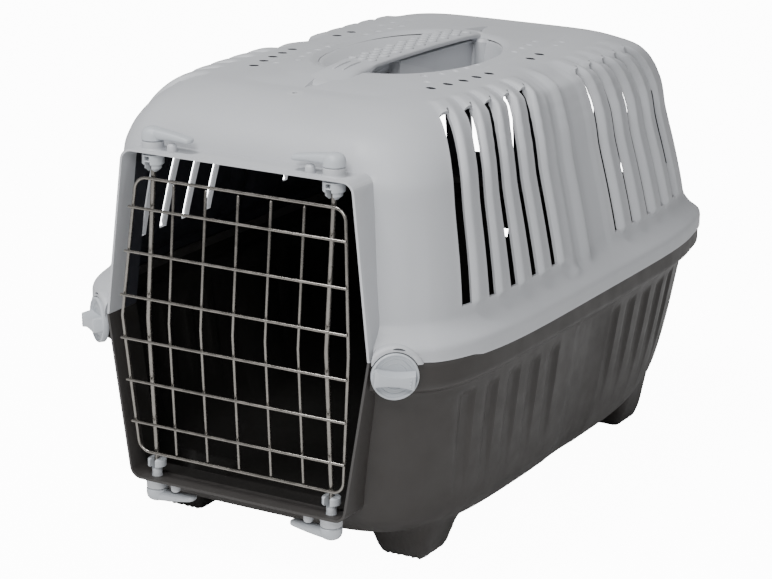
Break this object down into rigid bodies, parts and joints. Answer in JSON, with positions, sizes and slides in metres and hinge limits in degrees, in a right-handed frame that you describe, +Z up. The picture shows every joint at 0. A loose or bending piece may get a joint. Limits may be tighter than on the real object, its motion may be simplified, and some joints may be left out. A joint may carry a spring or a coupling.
{
  "type": "pet transport carrier",
  "caption": "Two-part moulded pet carrier with vent slots, a wire grid door held by turning latches, corner knobs and a carry handle over a recessed roof.",
  "frame": {"origin": "on the ground, under the middle of the carrier's overall length and width", "axes": "+Z up, the door faces -Y, +X is the carrier's right-hand side as seen facing the door"},
  "size_m": [0.315, 0.4886, 0.321],
  "materials": {
    "light_grey_plastic": "fine moulded grain, satin",
    "charcoal_plastic": "fine moulded grain, satin",
    "latch_grey_plastic": "smooth satin",
    "bright_steel_wire": "bright zinc or nickel plate"
  },
  "bodies": {
    "bottom": {"bottom_shell": "charcoal_plastic"},
    "top": {"top_shell": "light_grey_plastic", "carry_handle": "light_grey_plastic"},
    "door": {"door_frame": "bright_steel_wire", "door_rod_left": "bright_steel_wire", "door_rod_right": "bright_steel_wire", "door_cross_wire_1": "bright_steel_wire", "door_cross_wire_2": "bright_steel_wire", "door_cross_wire_3": "bright_steel_wire", "door_cross_wire_4": "bright_steel_wire", "door_cross_wire_5": "bright_steel_wire", "door_cross_wire_6": "bright_steel_wire", "door_upright_wire_1": "bright_steel_wire", "door_upright_wire_2": "bright_steel_wire", "door_upright_wire_3": "bright_steel_wire", "door_upright_wire_4": "bright_steel_wire", "door_upright_wire_5": "bright_steel_wire"},
    "latch_top_left": {"latch_lever_top_left": "latch_grey_plastic", "latch_spindle_top_left": "latch_grey_plastic"},
    "latch_top_right": {"latch_lever_top_right": "latch_grey_plastic", "latch_spindle_top_right": "latch_grey_plastic"},
    "latch_bottom_left": {"latch_lever_bottom_left": "latch_grey_plastic", "latch_spindle_bottom_left": "latch_grey_plastic"},
    "latch_bottom_right": {"latch_lever_bottom_right": "latch_grey_plastic", "latch_spindle_bottom_right": "latch_grey_plastic"},
    "corner_knob_left": {"knob_left": "latch_grey_plastic", "knob_cam_left": "latch_grey_plastic"},
    "corner_knob_right": {"knob_right": "latch_grey_plastic", "knob_cam_right": "latch_grey_plastic"}
  },
  "joints": [
    {"name": "top_lift", "type": "slide", "parent": "bottom", "child": "top", "axis": [0, 0, 1], "range_m": [0, 0.15]},
    {"name": "door_hinge", "type": "hinge", "parent": "bottom", "child": "door", "pos_m": [-0.0696, -0.2284, 0.1623], "axis": [0, 0, -1], "range_deg": [0, 105]},
    {"name": "latch_top_left_turn", "type": "hinge", "parent": "top", "child": "latch_top_left", "pos_m": [-0.0696, -0.2284, 0.2762], "axis": [0, 0, -1], "range_deg": [0, 90]},
    {"name": "latch_top_right_turn", "type": "hinge", "parent": "top", "child": "latch_top_right", "pos_m": [0.0696, -0.2284, 0.2762], "axis": [0, 0, 1], "range_deg": [0, 90]},
    {"name": "latch_bottom_left_turn", "type": "hinge", "parent": "bottom", "child": "latch_bottom_left", "pos_m": [-0.0696, -0.2284, 0.0458], "axis": [0, 0, -1], "range_deg": [0, 90]},
    {"name": "latch_bottom_right_turn", "type": "hinge", "parent": "bottom", "child": "latch_bottom_right", "pos_m": [0.0696, -0.2284, 0.0458], "axis": [0, 0, 1], "range_deg": [0, 90]},
    {"name": "knob_left_turn", "type": "hinge", "parent": "bottom", "child": "corner_knob_left", "pos_m": [-0.1175, -0.2305, 0.1515], "axis": [-0.6018, -0.7986, 0], "range_deg": [0, 90]},
    {"name": "knob_right_turn", "type": "hinge", "parent": "bottom", "child": "corner_knob_right", "pos_m": [0.1175, -0.2305, 0.1515], "axis": [-0.6018, 0.7986, 0], "range_deg": [0, 90]}
  ]
}
